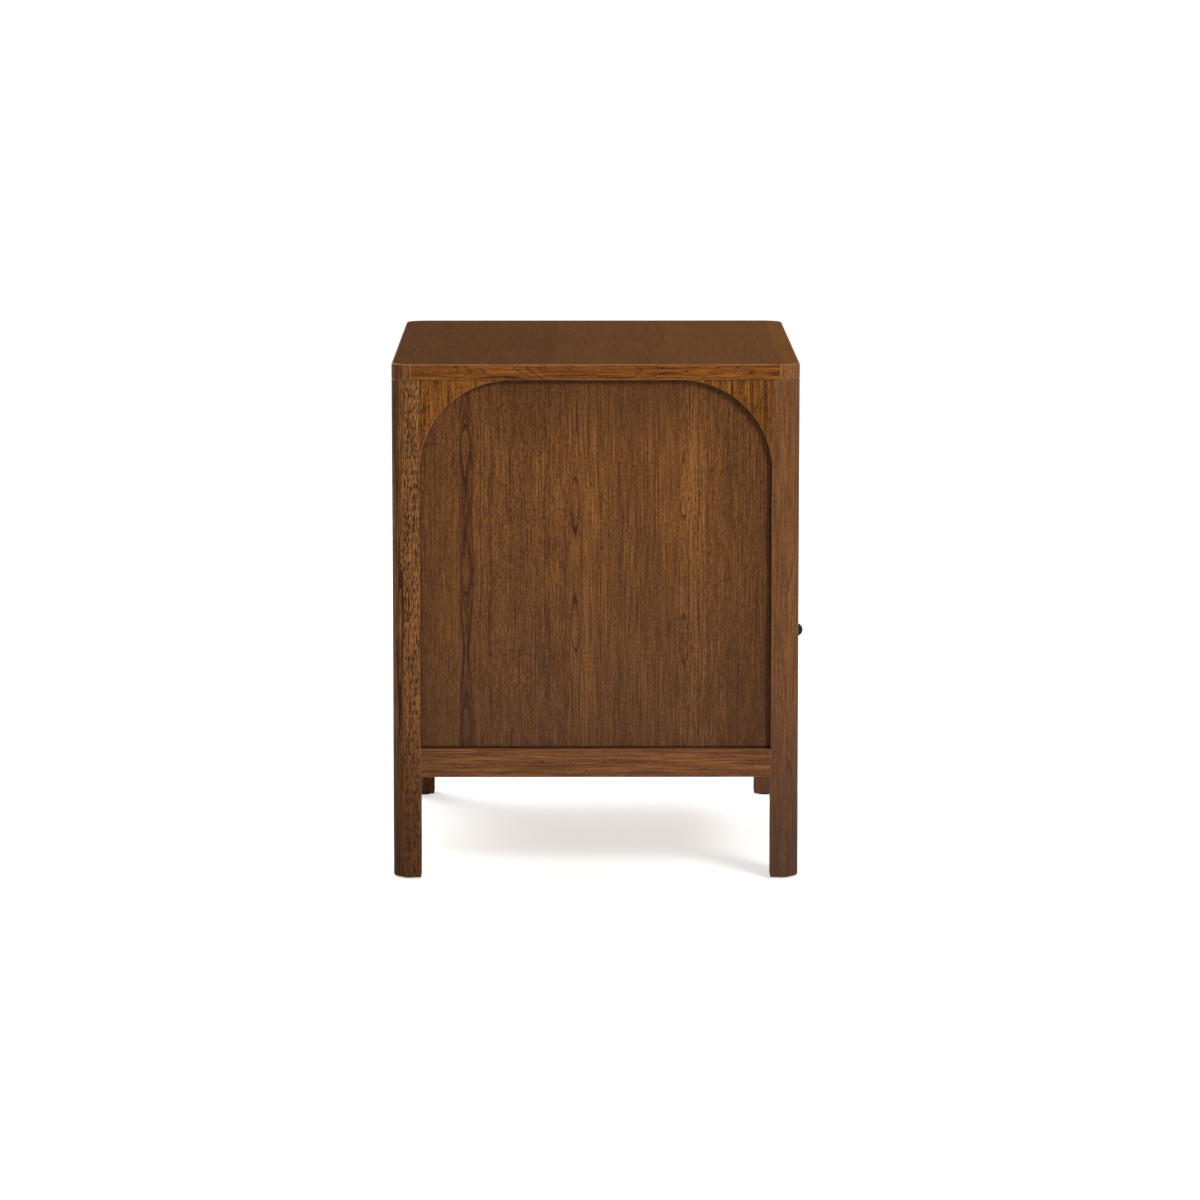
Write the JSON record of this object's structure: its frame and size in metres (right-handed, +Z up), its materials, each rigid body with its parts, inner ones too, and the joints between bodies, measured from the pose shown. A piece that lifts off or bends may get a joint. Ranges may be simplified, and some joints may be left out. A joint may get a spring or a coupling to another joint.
{
  "type": "nightstand",
  "caption": "Wooden nightstand with rounded corner legs, arched recessed side panels, an open niche and one drawer with a round knob.",
  "frame": {"origin": "on the floor, under the middle of the carcase's footprint, without the knob", "axes": "+Z up, +X to the right of someone who faces the drawer, the drawer front faces -Y and pulls out along -Y"},
  "size_m": [0.61, 0.495, 0.61],
  "materials": {
    "frame_oak": "oak stained mid-brown under a satin clear coat",
    "rail_oak": "stained oak with the grain along the rail, satin clear coat",
    "arch_oak": "stained oak with upright grain, satin clear coat",
    "veneer_oak": "planked oak veneer, stained, satin clear coat",
    "plywood": "bare birch plywood, sanded",
    "beech": "bare beech, planed",
    "box_maple": "maple under a clear matt lacquer",
    "slide_steel": "bright zinc-plated rolled steel",
    "cage_brass": "yellow-passivated cage with steel balls",
    "screw_steel": "yellow zinc-plated steel",
    "dark_bronze": "dark bronze, satin, with a sharp highlight",
    "felt": "dense pressed felt"
  },
  "bodies": {
    "carcase": {"top": "frame_oak", "leg_front_left": "frame_oak", "leg_front_right": "frame_oak", "leg_back_left": "frame_oak", "leg_back_right": "frame_oak", "floor_glides": "felt", "side_panel_left": "veneer_oak", "side_panel_right": "veneer_oak", "back_panel": "veneer_oak", "rail_left": "rail_oak", "rail_right": "rail_oak", "rail_front": "rail_oak", "rail_back": "rail_oak", "divider_rail": "rail_oak", "arch_left_front": "arch_oak", "arch_left_back": "arch_oak", "arch_right_front": "arch_oak", "arch_right_back": "arch_oak", "arch_niche_left": "arch_oak", "arch_niche_right": "arch_oak", "arch_back_left": "arch_oak", "arch_back_right": "arch_oak", "niche_floor": "veneer_oak", "bottom_board": "plywood", "top_cleat_left": "beech", "top_cleat_right": "beech", "slide_spacer_left": "beech", "slide_spacer_right": "beech", "rail_dowels": "beech", "top_dowels": "beech", "top_screws": "screw_steel", "cleat_screws": "screw_steel", "slide_outer_left": "slide_steel", "slide_outer_right": "slide_steel", "slide_outer_screws": "slide_steel"},
    "drawer": {"slide_inner_left": "slide_steel", "slide_inner_right": "slide_steel", "slide_inner_screws": "slide_steel", "drawer_front": "veneer_oak", "box_front": "box_maple", "box_back": "box_maple", "box_side_left": "box_maple", "box_side_right": "box_maple", "drawer_bottom": "plywood", "front_screws": "screw_steel", "knob": "dark_bronze", "knob_screw": "screw_steel"},
    "slide_middle_left": {"slide_middle_left": "slide_steel"},
    "slide_middle_right": {"slide_middle_right": "slide_steel"},
    "ball_cage_outer_left": {"ball_cage_outer_left": "cage_brass"},
    "ball_cage_outer_right": {"ball_cage_outer_right": "cage_brass"},
    "ball_cage_inner_left": {"ball_cage_inner_left": "cage_brass"},
    "ball_cage_inner_right": {"ball_cage_inner_right": "cage_brass"}
  },
  "joints": [
    {"name": "drawer_slide", "type": "slide", "parent": "carcase", "child": "drawer", "axis": [0, -1, 0], "range_m": [0, 0.38]},
    {"name": "slide_middle_left_run", "type": "slide", "parent": "carcase", "child": "slide_middle_left", "axis": [0, -1, 0], "range_m": [0, 0.19]},
    {"name": "cage_outer_left_run", "type": "slide", "parent": "carcase", "child": "ball_cage_outer_left", "axis": [0, -1, 0], "range_m": [0, 0.095]},
    {"name": "cage_inner_left_run", "type": "slide", "parent": "carcase", "child": "ball_cage_inner_left", "axis": [0, -1, 0], "range_m": [0, 0.2851]},
    {"name": "slide_middle_right_run", "type": "slide", "parent": "carcase", "child": "slide_middle_right", "axis": [0, -1, 0], "range_m": [0, 0.19]},
    {"name": "cage_outer_right_run", "type": "slide", "parent": "carcase", "child": "ball_cage_outer_right", "axis": [0, -1, 0], "range_m": [0, 0.095]},
    {"name": "cage_inner_right_run", "type": "slide", "parent": "carcase", "child": "ball_cage_inner_right", "axis": [0, -1, 0], "range_m": [0, 0.2851]}
  ],
  "couplings": [
    {"joint": "slide_middle_left_run", "follows": "drawer_slide", "ratio": 0.5},
    {"joint": "cage_outer_left_run", "follows": "drawer_slide", "ratio": 0.25},
    {"joint": "cage_inner_left_run", "follows": "drawer_slide", "ratio": 0.75},
    {"joint": "slide_middle_right_run", "follows": "drawer_slide", "ratio": 0.5},
    {"joint": "cage_outer_right_run", "follows": "drawer_slide", "ratio": 0.25},
    {"joint": "cage_inner_right_run", "follows": "drawer_slide", "ratio": 0.75}
  ]
}
